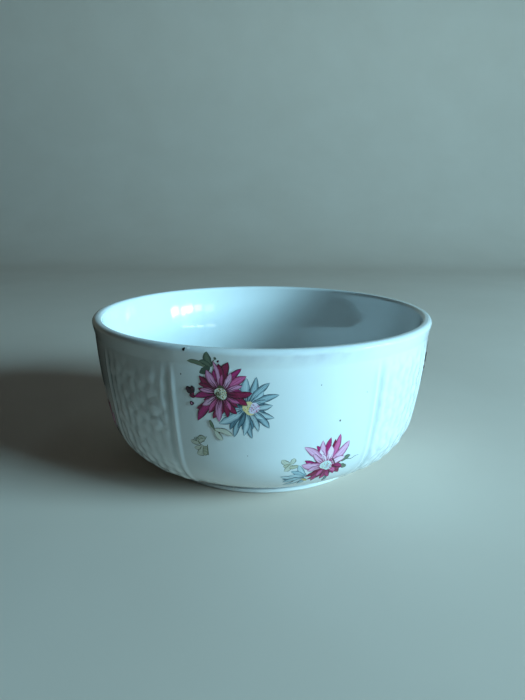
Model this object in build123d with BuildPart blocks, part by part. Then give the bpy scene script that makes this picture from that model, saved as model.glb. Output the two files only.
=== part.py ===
from build123d import *
from math import acos, cos, degrees, radians, sin
import os

# Porcelain serving bowl, 180 mm across and 80 mm high, standing on its foot ring.
# Millimetres, +Z up, origin in the middle of the foot ring's resting face.
# The front of the bowl faces -Y. An angle called a turn is measured about +Z from the
# front, positive towards +X, so turns run anticlockwise seen from above.
#
# The bowl is one fired porcelain body, with a glaze coat outside, inside and in the
# hollow of its foot, and twelve flower transfers fired onto the outer glaze.

# ---------------------------------------------------------------- driving dimensions
rim_radius = 90.1           # rim band's top corner; rounded, it leaves 180 mm across
bowl_height = 80.0          # to the crest of the rim
band_lean = 0.4             # the band's face leans out by this much, bottom to top
band_rise = 0.5             # height over which the wall steps out to the band
band_cove = 0.6             # hollow rounding at the foot of that step
band_round = 0.9            # and the rounding at its top
lip_radius = 2.0            # rounding of the lip, outside and inside
crest_inset = 2.3           # the lip's crest lies this far inside the rim radius

foot_radius = 58.4          # foot ring, outside
foot_width = 5.0
foot_height = 3.3
foot_lean = 0.5             # the foot ring widens by this much towards the wall
foot_ledge = 0.9            # the wall starts this far outside the foot ring's bottom
toe_radius = 0.9            # rounding of the foot ring's bottom edges
recess_height = 2.4         # ceiling of the hollow inside the foot ring
recess_round = 1.2          # rounding between that ceiling and the foot ring
floor_height = 7.0          # inside floor of the bowl, in the middle

glaze = 0.3                 # thickness of the fired glaze
bare_height = 0.7           # the foot ring is wiped clean of glaze up to here
film = 0.08                 # thickness of a fired transfer

panel_count = 4             # smooth panels, with as many basketweave panels between
panel_turn = 4.45           # middle of the front smooth panel
smooth_angle = 59.5         # across a smooth panel, from rib to rib
rib_radius = 1.3
rib_sink = 0.55             # how far the rib's axis lies inside the wall
rib_top = 0.985             # the ribs and the weave end at this share of the wall

weave_bottom = 0.03         # and the weave starts at this one
weave_margin = 1.5          # angle between a rib's axis and the glazed weave beside it
weave_rows = 20
weave_valley = 0.15         # weave surface above the wall, between two rows
weave_crest = 0.62          # and on top of a row
weave_root = 1.2            # how far the weave reaches into the wall, to join it

parting_depth = 2.0         # the glaze coats are cut from sections parted inside the wall

past_axis = 10.0            # sections run this far past the axis before they are cut
clear = 120.0               # larger than anything in the bowl

# ------------------------------------------------------------------------ the outlines
# Points are (radius, height) in a cut through the axis. A wall is a chain of tangent
# arcs, each (arc radius, angle it turns through), and headings are degrees from level.
outer_start = (foot_radius + foot_ledge, foot_height)
outer_heading = 30.0
outer_bends = [(1000.0, 0.65), (31.0, 48.4), (285.0, 8.6)]

inner_start = (0.0, floor_height)
inner_heading = 0.0
inner_bends = [(1306.0, 2.0), (33.0, 75.0)]
inner_last_radius = 600.0   # the last arc runs on up to the height of the rim


def walk(start, heading, bends, share=1.0, rise=0.0):
    """Go a share of the way along a chain of arcs and step to its right by rise."""
    left = share * sum(radius * radians(turn) for radius, turn in bends)
    x, z = start
    for radius, turn in bends:
        step = min(left, radius * radians(turn))
        ahead = heading + degrees(step / radius)
        x += radius * (sin(radians(ahead)) - sin(radians(heading)))
        z += radius * (cos(radians(heading)) - cos(radians(ahead)))
        heading = ahead
        left -= step
    return (x + rise * sin(radians(heading)), z - rise * cos(radians(heading)))


def draw_chain(start, heading, bends, end=1.0, rise=0.0):
    """Draw a chain in the current line builder, up to a share of its length.

    Each arc is drawn as a spline through five of its points, so that its surface of
    revolution is a plain one: a torus whose tube is wider than its ring crosses itself.
    """
    total = sum(radius * radians(turn) for radius, turn in bends)
    low = 0.0
    lean = heading
    for radius, turn in bends:
        high = min(low + radius * radians(turn) / total, end)
        ahead = lean + degrees((high - low) * total / radius)
        points = [walk(start, heading, bends, low + (high - low) * step / 4, rise)
                  for step in range(5)]
        Spline(*points, tangents=[(cos(radians(lean)), sin(radians(lean))),
                                  (cos(radians(ahead)), sin(radians(ahead)))])
        lean = ahead
        low = high


def on_wall(share, rise=0.0):
    """A point at a share of the outer wall's length, that far out from its surface."""
    return walk(outer_start, outer_heading, outer_bends, share, rise)


inner_lean = sum(turn for radius, turn in inner_bends)
climb = bowl_height - walk(inner_start, inner_heading, inner_bends)[1]
top_lean = degrees(acos(cos(radians(inner_lean)) - climb / inner_last_radius))
inner_bends.append((inner_last_radius, top_lean - inner_lean))


def bowl_outline(inset=0.0):
    """The whole glazed bowl as a face, from past the axis out to the rim.

    With an inset it is the same outline moved in by that much all round. Sections are
    drawn flat, x for the radius and y for the height.
    """
    base = recess_height + inset
    ring_inner = (foot_radius - foot_width + inset, inset)
    ring_top = (ring_inner[0], base)
    ring_outer = (foot_radius - inset, inset)
    foot_top = (ring_outer[0] + foot_lean, foot_height + inset)
    wall_top = on_wall(1, -inset)
    band_foot = (rim_radius - band_lean - inset, on_wall(1)[1] + band_rise + inset)
    lip_outside = (rim_radius - inset, bowl_height - inset)
    inner_length = sum(radius * radians(turn) for radius, turn in inner_bends)
    inner_end = 1 - inset / inner_length
    lip_inside = walk(inner_start, inner_heading, inner_bends, inner_end, inset)
    floor = floor_height - inset
    with BuildSketch() as outline:
        with BuildLine():
            Polyline((0, floor), (-past_axis, floor), (-past_axis, base), ring_top,
                     ring_inner, ring_outer, foot_top, on_wall(0, -inset))
            draw_chain(outer_start, outer_heading, outer_bends, 1, -inset)
            Polyline(wall_top, band_foot, lip_outside, lip_inside)
            draw_chain(inner_start, inner_heading, inner_bends, inner_end, inset)
        make_face()
        # the outside corners lose the inset from their rounding, the hollow ones gain it
        for corner, rounding in [(ring_top, recess_round + inset),
                                 (ring_inner, toe_radius - inset),
                                 (ring_outer, toe_radius - inset),
                                 (wall_top, band_cove + inset),
                                 (band_foot, band_round - inset),
                                 (lip_outside, lip_radius - inset),
                                 (lip_inside, lip_radius - inset)]:
            fillet(outline.vertices().sort_by_distance(corner)[0], rounding)
    return outline.sketch


glazed_section = bowl_outline()
core_section = bowl_outline(glaze)
film_section = bowl_outline(-film)

# The body reaches the glazed outline only at the foot ring's bare face.
with BuildSketch() as body_section:
    add(glazed_section)
    Rectangle(2 * clear, 2 * bare_height, mode=Mode.INTERSECT)
    add(core_section)
    with Locations((clear / 2, 0)):
        Rectangle(clear, 2 * clear, mode=Mode.INTERSECT)

# A line inside the wall parts the outer glaze from the inner one, and the foot ring
# parts both from the glaze in its hollow.
crest_radius = rim_radius - crest_inset
ring_middle = foot_radius - foot_width / 2
floor_middle = (recess_height + floor_height) / 2
parting = [(crest_radius, clear), (crest_radius, bowl_height - 2 * lip_radius),
           on_wall(0.7, -parting_depth), on_wall(0.4, -parting_depth),
           on_wall(0.2, -parting_depth - 0.5), (ring_middle, floor_middle)]
outer_region = parting + [(ring_middle, bare_height), (clear, bare_height),
                          (clear, clear)]
inner_region = parting + [(0, floor_middle), (0, clear)]
base_region = [(0, bare_height), (ring_middle, bare_height),
               (ring_middle, floor_middle), (0, floor_middle)]
print_region = [on_wall(0.02, -parting_depth), (clear, 2.0), (clear, bowl_height - lip_radius),
                (crest_radius, bowl_height - lip_radius), on_wall(0.4, -parting_depth)]


def skin_section(outline, inside, region):
    """The part of a face that lies outside another face and in a region."""
    with BuildSketch() as section:
        add(outline)
        add(inside, mode=Mode.SUBTRACT)
        with BuildLine():
            Polyline(*region, close=True)
        make_face(mode=Mode.INTERSECT)
    return section.sketch


def revolved(section, angle=360):
    """A flat section stood up in the XZ plane and turned about the bowl's axis."""
    with BuildPart() as turned:
        with BuildSketch(Plane.XZ):
            add(section)
        revolve(axis=Axis.Z, revolution_arc=angle)
    return turned.part


# -------------------------------------------------------- moulded relief on the outside
def rib(radius):
    """One vertical rib: a round bead that follows the wall, half sunk into it."""
    foot = on_wall(0, -rib_sink)
    heading = radians(outer_heading)
    with BuildPart() as bead:
        with BuildLine(Plane.XZ):
            draw_chain(outer_start, outer_heading, outer_bends, rib_top, -rib_sink)
        with BuildSketch(Plane((foot[0], 0, foot[1]), z_dir=(cos(heading), 0, sin(heading)))):
            Circle(radius)
        sweep()
    return bead.part


def end_margin(inset):
    """The angle between a rib's axis and the end of the weave beside it."""
    return weave_margin + degrees(inset / foot_radius)


def weave(inset):
    """One panel of weave: rounded rows across it, its surface inset by the glaze."""
    rows = [weave_bottom + (rib_top - weave_bottom) * row / weave_rows
            for row in range(weave_rows + 1)]
    valley = weave_valley - inset
    crest = weave_crest - inset
    with BuildSketch() as section:
        with BuildLine():
            for low, high in zip(rows[:-1], rows[1:]):
                ThreePointArc(on_wall(low, valley), on_wall((low + high) / 2, crest),
                              on_wall(high, valley))
            roots = [on_wall(share, -weave_root) for share in reversed(rows)]
            Polyline(on_wall(rows[-1], valley), *roots, on_wall(rows[0], valley))
        make_face()
    return revolved(section.sketch, 360 / panel_count - smooth_angle - 2 * end_margin(inset))


def relief(inset):
    """All the ribs and weave panels, their surfaces inset by the glaze."""
    bead = rib(rib_radius - inset)
    panel = weave(inset)
    # what is drawn in the XZ plane faces +X, a turn of 90 degrees
    left_rib = panel_turn - smooth_angle / 2 - 90
    right_rib = panel_turn + smooth_angle / 2 - 90
    with BuildPart() as pattern:
        with PolarLocations(0, panel_count, start_angle=left_rib):
            add(bead)
        with PolarLocations(0, panel_count, start_angle=right_rib):
            add(bead)
        with PolarLocations(0, panel_count, start_angle=right_rib + end_margin(inset)):
            add(panel)
    return pattern.part


# ------------------------------------------------------------------ body and glaze coats
os.makedirs("parts", exist_ok=True)


def save(piece, name):
    """Label a finished piece and write it."""
    piece.part.label = name
    export_step(piece.part, f"parts/{name}.step")


with BuildPart() as porcelain_body:
    add(revolved(body_section.sketch))
    add(relief(glaze))
save(porcelain_body, "porcelain_body")

# The outer coat is the outer half of the glazed bowl with the body taken out of it.
with BuildSketch() as outer_half:
    add(glazed_section)
    with BuildLine():
        Polyline(*outer_region, close=True)
    make_face(mode=Mode.INTERSECT)

with BuildPart() as outer_glaze:
    add(revolved(outer_half.sketch))
    add(relief(0))
    add(porcelain_body.part, mode=Mode.SUBTRACT)
save(outer_glaze, "outer_glaze")

with BuildPart() as inner_glaze:
    add(revolved(skin_section(glazed_section, body_section.sketch, inner_region)))
save(inner_glaze, "inner_glaze")

with BuildPart() as base_glaze:
    add(revolved(skin_section(glazed_section, body_section.sketch, base_region)))
save(base_glaze, "base_glaze")

# ------------------------------------------------------------------- flower transfers
# Drawn flat, as seen from straight in front of a smooth panel: x runs across from the
# panel's middle and y is the height on the bowl.


def petal(length, width):
    """A pointed petal or leaf that grows along +X from its stem at the origin."""
    with BuildSketch() as shape:
        with BuildLine():
            ThreePointArc((0, 0), (0.55 * length, width / 2), (length, 0))
            ThreePointArc((length, 0), (0.55 * length, -width / 2), (0, 0))
        make_face()
    return shape.sketch


def spray(stem, leaves):
    """Leaves or petals from one stem, each given as (length, width, direction)."""
    with BuildSketch() as shape:
        with Locations(stem):
            for length, width, direction in leaves:
                add(petal(length, width), rotation=direction)
    return shape.sketch


def flower(middle, core, count, length, width, first=0):
    """A daisy: a round core with pointed petals all round it."""
    petals = [(length, width, first + 360 * index / count) for index in range(count)]
    with BuildSketch() as shape:
        add(spray(middle, petals))
        with Locations(middle):
            Circle(core)
    return shape.sketch


with BuildSketch() as large_bouquet_shape:
    add(flower((-23.5, 61.3), 3.2, 14, 12.6, 4.6, first=6))
    add(flower((-11.6, 55.0), 3.2, 13, 11.6, 4.2, first=10))
    add(spray((-27.6, 71.0), [(7.6, 3.4, 100), (8.0, 3.2, 150), (5.0, 3.0, 215)]))
    add(spray((-33.0, 60.0), [(4.6, 2.6, 150), (4.2, 2.4, 200)]))
    add(spray((-24.4, 50.0), [(6.0, 1.6, 270)]))
    add(spray((-24.0, 44.6), [(8.4, 3.6, 345), (5.4, 3.0, 300)]))

with BuildSketch() as leaf_sprig_shape:
    add(spray((-31.0, 34.8), [(8.0, 4.4, 120), (6.4, 4.0, 160), (7.4, 4.6, 240),
                              (5.6, 4.0, 280), (5.6, 3.4, 75)]))
    with Locations((-34.5, 35.6)):
        Rectangle(10.0, 9.6, mode=Mode.INTERSECT)

with BuildSketch() as small_bouquet_shape:
    add(flower((22.9, 25.0), 3.2, 13, 11.8, 4.8, first=15))
    add(flower((10.6, 19.6), 2.8, 9, 7.2, 3.6, first=20))
    add(spray((7.8, 26.0), [(6.4, 3.2, 60), (5.6, 3.0, 120), (5.0, 2.8, 190)]))
    add(spray((31.0, 25.4), [(6.4, 3.0, 60), (5.0, 2.6, 330), (8.0, 1.4, 8)]))

transfers = {
    "large_bouquet": large_bouquet_shape.sketch,
    "leaf_sprig": leaf_sprig_shape.sketch,
    "small_bouquet": small_bouquet_shape.sketch,
}
sides = ["front", "right", "back", "left"]

front = radians(panel_turn)
front_plane = Plane((0, 0, 0), x_dir=(cos(front), sin(front), 0),
                    z_dir=(sin(front), -cos(front), 0))
film_shell = revolved(skin_section(film_section, glazed_section, print_region))

for name, shape in transfers.items():
    with BuildPart() as front_print:
        with BuildSketch(front_plane):
            add(shape)
        extrude(amount=clear)
        add(film_shell, mode=Mode.INTERSECT)
    for index, side in enumerate(sides):
        with BuildPart() as transfer:
            add(front_print.part, rotation=(0, 0, index * 360 / panel_count))
        save(transfer, f"{name}_{side}")
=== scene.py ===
from math import acos, cos, degrees, pi, radians, sin, tan

import bpy
import numpy as np
from mathutils import Euler, Matrix, Vector


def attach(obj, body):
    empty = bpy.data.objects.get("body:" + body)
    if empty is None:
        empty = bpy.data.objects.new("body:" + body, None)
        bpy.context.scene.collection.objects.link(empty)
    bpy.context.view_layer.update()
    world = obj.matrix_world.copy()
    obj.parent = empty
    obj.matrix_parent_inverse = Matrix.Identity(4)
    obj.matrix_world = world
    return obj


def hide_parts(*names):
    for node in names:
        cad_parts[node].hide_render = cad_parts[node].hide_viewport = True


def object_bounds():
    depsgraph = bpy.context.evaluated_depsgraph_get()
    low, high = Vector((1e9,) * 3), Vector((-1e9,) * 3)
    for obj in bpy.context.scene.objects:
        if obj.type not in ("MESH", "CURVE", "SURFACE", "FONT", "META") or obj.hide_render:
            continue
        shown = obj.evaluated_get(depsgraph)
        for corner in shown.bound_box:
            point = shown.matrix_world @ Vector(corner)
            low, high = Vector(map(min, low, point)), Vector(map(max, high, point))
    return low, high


# Porcelain serving bowl: glazed body, moulded ribs and basketweave, flower transfers.
# Lengths in the shape code are millimetres, in the CAD's frame, and become metres in
# make_mesh. A turn is an angle about +Z from the front (-Y), positive towards +X, and a
# climb is a length up the outer wall from the foot ring.

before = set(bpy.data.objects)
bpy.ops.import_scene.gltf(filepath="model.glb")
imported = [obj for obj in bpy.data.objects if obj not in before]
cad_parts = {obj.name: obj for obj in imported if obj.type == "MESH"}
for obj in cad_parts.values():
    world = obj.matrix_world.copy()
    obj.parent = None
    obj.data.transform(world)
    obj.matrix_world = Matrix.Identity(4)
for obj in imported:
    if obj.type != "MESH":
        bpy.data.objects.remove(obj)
cad_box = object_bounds()

MM = 0.001
rng = np.random.default_rng(11)

BOWL_HEIGHT = cad_box[1].z / MM
RIM_RADIUS = cad_box[1].x / MM + 0.1      # the band's corner, before it is rounded
GLAZE = 0.3
BARE_HEIGHT = 0.7                         # the foot ring is bare up to this height

# ---------------------- the bowl's section
OUTER_START, OUTER_HEADING = (59.3, 3.3), 30.0
OUTER_BENDS = [(1000.0, 0.65), (31.0, 48.4), (285.0, 8.6)]
INNER_START, INNER_HEADING = (0.0, 7.0), 0.0
INNER_BENDS = [(1306.0, 2.0), (33.0, 75.0)]
INNER_LAST_RADIUS = 600.0
FOOT_RADIUS, FOOT_WIDTH, FOOT_HEIGHT = 58.4, 5.0, 3.3
FOOT_ROUND, RECESS_ROUND, LIP_ROUND = 0.9, 1.2, 2.0
FOOT_FLARE = 0.35                         # the ring widens this much up to the groove above it
GROOVE_BOTTOM, GROOVE_TOP, GROOVE_SINK = 1.1, 0.4, 0.45
GROOVE_ROUNDS = 0.35, 0.15, 0.3
RECESS_HEIGHT = 2.4
BAND_RISE, BAND_COVE, BAND_ROUND = 5.0, 9.0, 9.0     # the wall swells out softly to the band
BAND_LEAN, CREST_INSET = 0.4, 2.3
SWELL_CREST, SWELL_REACH = 69, 7          # the inner wall's faint swell
SWELL_CURVE, SWELL_SLOPE = 0.0034, 0.048
SWELL_FADE = (16, 50)


def smooth(x, low, high):
    """A share that rises softly from 0 at low to 1 at high."""
    t = np.clip((x - low) / (high - low), 0, 1)
    return t * t * (3 - 2 * t)


def chain_length(bends):
    return sum(radius * radians(turn) for radius, turn in bends)


def walk(start, heading, bends, length, rise=0.0):
    """The point a length along a chain of arcs, stepped to its right by rise."""
    x, z = start
    for radius, turn in bends:
        step = min(length, radius * radians(turn))
        ahead = heading + degrees(step / radius)
        x += radius * (sin(radians(ahead)) - sin(radians(heading)))
        z += radius * (cos(radians(heading)) - cos(radians(ahead)))
        heading = ahead
        length -= step
    return (x + rise * sin(radians(heading)), z - rise * cos(radians(heading)))


def close_inner_chain():
    """The last arc of the inner wall, which runs up to the height of the rim."""
    lean = sum(turn for radius, turn in INNER_BENDS)
    climb = BOWL_HEIGHT - walk(INNER_START, INNER_HEADING, INNER_BENDS, 1e9)[1]
    top = degrees(acos(cos(radians(lean)) - climb / INNER_LAST_RADIUS))
    INNER_BENDS.append((INNER_LAST_RADIUS, top - lean))


close_inner_chain()
OUTER_LENGTH = chain_length(OUTER_BENDS)
INNER_LENGTH = chain_length(INNER_BENDS)


def rounded(corners, arc_steps=6):
    """A line through corners (r, z, rounding), with an arc in place of each rounded one."""
    line = []
    last = len(corners) - 1
    for k, (r, z, rounding) in enumerate(corners):
        here = np.array((r, z))
        if rounding <= 0 or k in (0, last):
            line.append(here)
            continue
        back = np.array(corners[k - 1][:2]) - here
        on = np.array(corners[k + 1][:2]) - here
        back /= np.linalg.norm(back)
        on /= np.linalg.norm(on)
        half = 0.5 * acos(np.clip(np.dot(back, on), -1, 1))
        reach = rounding / tan(half)
        centre = here + (back + on) / np.linalg.norm(back + on) * rounding / sin(half)
        first = here + back * reach - centre
        second = here + on * reach - centre
        for share in np.linspace(0, 1, arc_steps + 1):
            arm = first * (1 - share) + second * share
            line.append(centre + arm / np.linalg.norm(arm) * rounding)
    return np.array(line)


def outer_line(inset=0.0, step=0.47):
    """The section's outside from the foot ring's resting face to the rim's crest."""
    wall = [walk(OUTER_START, OUTER_HEADING, OUTER_BENDS, length, -inset)
            for length in np.arange(0, OUTER_LENGTH - 2.0, step)]
    top = walk(OUTER_START, OUTER_HEADING, OUTER_BENDS, OUTER_LENGTH, -inset)
    edge = walk(INNER_START, INNER_HEADING, INNER_BENDS, INNER_LENGTH - inset, inset)
    corners = [(FOOT_RADIUS - FOOT_WIDTH / 2, inset, 0),
               (FOOT_RADIUS - inset, inset, FOOT_ROUND - inset),
               (FOOT_RADIUS + FOOT_FLARE - inset, FOOT_HEIGHT - GROOVE_BOTTOM, GROOVE_ROUNDS[0]),
               (FOOT_RADIUS - GROOVE_SINK - inset, FOOT_HEIGHT - GROOVE_TOP + inset,
                GROOVE_ROUNDS[1]),
               (*wall[0], GROOVE_ROUNDS[2])]
    corners += [(r, z, 0) for r, z in wall[1:]]
    corners += [(top[0], top[1], BAND_COVE + inset),
                (RIM_RADIUS - BAND_LEAN - inset, top[1] + BAND_RISE, BAND_ROUND - inset),
                (RIM_RADIUS - inset, BOWL_HEIGHT - inset, LIP_ROUND - inset),
                (edge[0], BOWL_HEIGHT - inset, 0)]
    line = rounded(corners)
    return line[line[:, 0] > 0]


def wall_swell(z):
    """How far the inner wall bulges inwards at a height, from its turning."""
    near = min(SWELL_CREST - z, SWELL_REACH)
    below = min(max(SWELL_CREST - SWELL_REACH - z, 0), SWELL_REACH)
    return (SWELL_CURVE * near ** 2 + SWELL_SLOPE * below) * smooth(z, *SWELL_FADE)


def inner_line(inset=0.0, step=2.2):
    """The section's inside from the rim's crest down to the middle of the floor."""
    edge = walk(INNER_START, INNER_HEADING, INNER_BENDS, INNER_LENGTH - inset, inset)
    lengths = list(np.arange(INNER_LENGTH - 3.2, 60, -step)) + list(np.arange(58, 1, -3.0))
    corners = [(RIM_RADIUS - CREST_INSET, BOWL_HEIGHT - inset, 0),
               (edge[0] - wall_swell(BOWL_HEIGHT), BOWL_HEIGHT - inset, LIP_ROUND - inset)]
    wall = [walk(INNER_START, INNER_HEADING, INNER_BENDS, length, inset) for length in lengths]
    corners += [(r - wall_swell(z), z, 0) for r, z in wall]
    corners.append((0.0, INNER_START[1] - inset, 0))
    return rounded(corners)


def base_line(inset=0.0):
    """The hollow under the bowl, from its middle out to the foot ring's resting face."""
    corners = [(r, RECESS_HEIGHT + inset, 0) for r in np.linspace(0, 50, 14)]
    corners += [(FOOT_RADIUS - FOOT_WIDTH + inset, RECESS_HEIGHT + inset, RECESS_ROUND + inset),
                (FOOT_RADIUS - FOOT_WIDTH + inset, inset, FOOT_ROUND - inset),
                (FOOT_RADIUS - FOOT_WIDTH / 2, inset, 0)]
    return rounded(corners)


# ---------------------- moulded relief outside
PANEL_TURN, SMOOTH_ANGLE, PANELS = 4.45, 59.5, 4      # turn of a smooth panel's middle, its angle
QUARTER = 360 / PANELS
RIB_HEIGHT, RIB_SPREAD = 0.42, 1.35
HOLLOW_DEPTH, HOLLOW_OFF, HOLLOW_SPREAD = 0.30, 3.4, 1.8     # beside each rib, towards the weave
WEAVE_MARGIN = 1.5
STAKES, ROWS = 7, 20
WEAVE_GROUND, RIDGE_HEIGHT, BUMP_HEIGHT = 0.20, 0.14, 0.50
STRAND_WIDTHS = np.array((0.42, 0.66))                       # under a stake, over it
STRAND_HEIGHTS = np.array(((0.26, 0.50), (0.74, 1.0)))       # each on a weak and a strong stake
WEAVE_START, RELIEF_END = 2.4, 79.1
UNEVEN_HEIGHT, UNEVEN_PLACE = 0.36, 0.40

weave_angle = QUARTER - SMOOTH_ANGLE - 2 * WEAVE_MARGIN
stake_pitch = weave_angle / STAKES
row_pitch = (RELIEF_END - WEAVE_START) / ROWS
bumps = (PANELS, STAKES + 2, ROWS + 2)
bump_gain = 1 + UNEVEN_HEIGHT * rng.standard_normal(bumps).clip(-1.6, 1.6)
bump_shift = UNEVEN_PLACE * rng.standard_normal(bumps).clip(-1.6, 1.6)


def relief(turn, climb, radius):
    """Height of the moulding above the plain wall, in millimetres. Arrays of one shape."""
    panel = np.floor((turn - PANEL_TURN + SMOOTH_ANGLE / 2) / QUARTER).astype(int)
    local = turn - PANEL_TURN + SMOOTH_ANGLE / 2 - QUARTER * panel
    panel %= PANELS
    ends = smooth(climb, 0.6, 2.6) * (1 - smooth(climb, RELIEF_END - 9.0, RELIEF_END + 2.0))
    # ribs, soft under the glaze, with a hollow on the side of the weave
    ribs = np.zeros_like(turn)
    hollows = np.zeros_like(turn)
    for axis, side in ((0.0, -1), (SMOOTH_ANGLE, 1), (QUARTER, -1)):
        across = np.radians(local - axis) * radius
        ribs = np.maximum(ribs, RIB_HEIGHT * np.exp(-(across / RIB_SPREAD) ** 2))
        hollows -= HOLLOW_DEPTH * np.exp(-((across - side * HOLLOW_OFF) / HOLLOW_SPREAD) ** 2)
    # basketweave: each strand swells where it passes over a stake and dips at the next
    along = (local - SMOOTH_ANGLE - WEAVE_MARGIN) / stake_pitch
    up = (climb - WEAVE_START) / row_pitch
    stake = np.clip(np.floor(along), 0, STAKES - 1).astype(int)
    row = np.clip(np.floor(up), 0, ROWS - 1).astype(int)
    weave = np.zeros_like(turn)
    for ds in (-1, 0, 1):
        for dr in (-1, 0, 1):
            i = stake + ds
            j = row + dr
            known = (i >= 0) & (i < STAKES) & (j >= 0) & (j < ROWS)
            ci = np.clip(i, 0, STAKES - 1)
            cj = np.clip(j, 0, ROWS - 1)
            over = (ci + cj) % 2
            tall = STRAND_HEIGHTS[over, ci % 2]
            dx = along - (i + 0.5) - 0.4 * bump_shift[panel, cj % STAKES, ci]
            dy = up - (j + 0.5) - bump_shift[panel, ci, cj] / row_pitch
            wide = STRAND_WIDTHS[over]
            bump = np.exp(-1.3 * (dx / wide) ** 2 - 1.4 * (dy / 0.92) ** 2)
            weave = np.maximum(weave, np.where(known, tall * bump * bump_gain[panel, ci, cj], 0))
    # the stakes stand out as upright ridges that wander a little
    sway = 0.16 * np.sin(up * 1.1 + panel * 2.0) + 0.08 * np.sin(up * 2.7 + stake)
    ridge = np.cos(2 * pi * (along - 0.5 - sway)) * (0.75 + 0.25 * np.sin(up * 1.9 + stake * 2.4))
    inside = smooth(along, -0.1, 0.45) * (1 - smooth(along, STAKES - 0.45, STAKES + 0.1))
    weave = WEAVE_GROUND + RIDGE_HEIGHT * ridge + BUMP_HEIGHT * np.clip(weave, 0, 1.12)
    return ends * (np.maximum(ribs, inside * weave) + hollows)


def turns_round():
    """Turns of the mesh's columns: close together on ribs and weave, wider between."""
    outer_reach, inner_reach = 2.6, 1.5
    rib = np.array([-outer_reach, -2.0, -1.5, -1.2, -0.9, -0.6, -0.3, 0,
                    0.3, 0.6, 0.9, 1.2, inner_reach])
    quarter = list(-rib[::-1])
    quarter += list(np.linspace(outer_reach, SMOOTH_ANGLE - outer_reach, 25)[1:-1])
    quarter += list(SMOOTH_ANGLE + rib)
    quarter += list(np.linspace(SMOOTH_ANGLE + inner_reach, QUARTER - inner_reach, 62)[1:-1])
    start = PANEL_TURN - SMOOTH_ANGLE / 2
    return np.array([start + QUARTER * k + turn for k in range(PANELS) for turn in quarter])


# ---------------------- mesh building
def line_normals(line):
    """The way out of a line (r, z) at each of its points."""
    flow = np.gradient(line, axis=0)
    flow /= np.linalg.norm(flow, axis=1)[:, None]
    return np.stack([flow[:, 1], -flow[:, 0]], 1)


def ring_points(turns, line, lift=None):
    """Points of a turned surface: one ring for each point of the line, lifted off it."""
    normal = line_normals(line)
    r = line[:, 0][:, None] + np.zeros(len(turns))
    z = line[:, 1][:, None] + np.zeros(len(turns))
    if lift is not None:
        r = r + normal[:, 0][:, None] * lift
        z = z + normal[:, 1][:, None] * lift
    a = np.radians(turns)[None, :]
    return np.stack([r * np.sin(a), -r * np.cos(a), z], -1)


def grid_normals(points):
    """Smooth normals of a ring grid that closes round its columns."""
    across = np.roll(points, -1, axis=1) - np.roll(points, 1, axis=1)
    up = np.gradient(points, axis=0)
    normal = np.cross(across, up)
    length = np.linalg.norm(normal, axis=2, keepdims=True)
    return normal / np.maximum(length, 1e-12)


def make_mesh(name, points, faces, normals=None):
    mesh = bpy.data.meshes.new(name)
    mesh.from_pydata((np.asarray(points) * MM).tolist(), [], faces)
    mesh.update()
    mesh.shade_smooth()
    if normals is not None:
        mesh.normals_split_custom_set_from_vertices(np.asarray(normals).tolist())
    obj = bpy.data.objects.new(name, mesh)
    bpy.context.scene.collection.objects.link(obj)
    return obj


def grid_faces(rows, columns, closed=True):
    faces = []
    span = columns if closed else columns - 1
    for j in range(rows - 1):
        for i in range(span):
            k = (i + 1) % columns
            low, high = j * columns, (j + 1) * columns
            faces.append((low + i, low + k, high + k, high + i))
    return faces


def ring_object(name, grid, normals=None, first=None, last=None):
    """A ring grid as an object, its first or last ring closed by a fan round a middle point."""
    rows, columns = grid.shape[:2]
    points = list(grid.reshape(-1, 3))
    flat = None if normals is None else list(normals.reshape(-1, 3))
    faces = grid_faces(rows, columns)
    for middle, row in ((first, 0), (last, rows - 1)):
        if middle is None:
            continue
        ring = [row * columns + i for i in range(columns)]
        for here, there in zip(ring, ring[1:] + ring[:1]):
            faces.append((here, there, len(points)) if row else (there, here, len(points)))
        points.append(middle)
        if flat:
            flat.append((0, 0, 1 if row else -1))
    return make_mesh(name, points, faces, flat)


def add_value(obj, name, values):
    """A number at each vertex, for the material to read."""
    layer = obj.data.attributes.new(name, "FLOAT", "POINT")
    layer.data.foreach_set("value", np.asarray(values, np.float32).ravel())


# ---------------------- materials
GLASS_IOR = 1.52                          # of the glaze and the enamel


def new_material(name):
    material = bpy.data.materials.new(name)
    material.use_nodes = True
    tree = material.node_tree
    tree.nodes.clear()
    out = tree.nodes.new("ShaderNodeOutputMaterial")
    shader = tree.nodes.new("ShaderNodeBsdfPrincipled")
    tree.links.new(shader.outputs[0], out.inputs[0])
    return material, tree, shader


def feed(tree, socket, value):
    """A link into a socket, or a plain value for it."""
    if isinstance(value, bpy.types.NodeSocket):
        tree.links.new(value, socket)
    else:
        socket.default_value = value


def fill(tree, made, **sockets):
    """Links and values for a node's sockets, their names written with _ for a space."""
    for key, value in sockets.items():
        feed(tree, made.inputs[key.replace("_", " ")], value)
    return made


def node(tree, kind, settings=None, **sockets):
    made = tree.nodes.new(kind)
    for key, value in (settings or {}).items():
        setattr(made, key, value)
    return fill(tree, made, **sockets)


def ramp(tree, factor, stops):
    made = tree.nodes.new("ShaderNodeValToRGB")
    tree.links.new(factor, made.inputs[0])
    elements = made.color_ramp.elements
    while len(elements) < len(stops):
        elements.new(0.5)
    for element, (place, colour) in zip(elements, stops):
        element.position = place
        element.color = colour if len(colour) == 4 else (*colour, 1)
    return made.outputs[0]


def mix_colour(tree, factor, first, second, blend="MIX"):
    made = tree.nodes.new("ShaderNodeMix")
    made.data_type = "RGBA"
    made.blend_type = blend
    for number, value in ((0, factor), (6, first), (7, second)):
        feed(tree, made.inputs[number], value)
    return made.outputs[2]


def maths(tree, operation, first, second=0.0, clamp=False):
    made = tree.nodes.new("ShaderNodeMath")
    made.operation = operation
    made.use_clamp = clamp
    feed(tree, made.inputs[0], first)
    feed(tree, made.inputs[1], second)
    return made.outputs[0]


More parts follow.
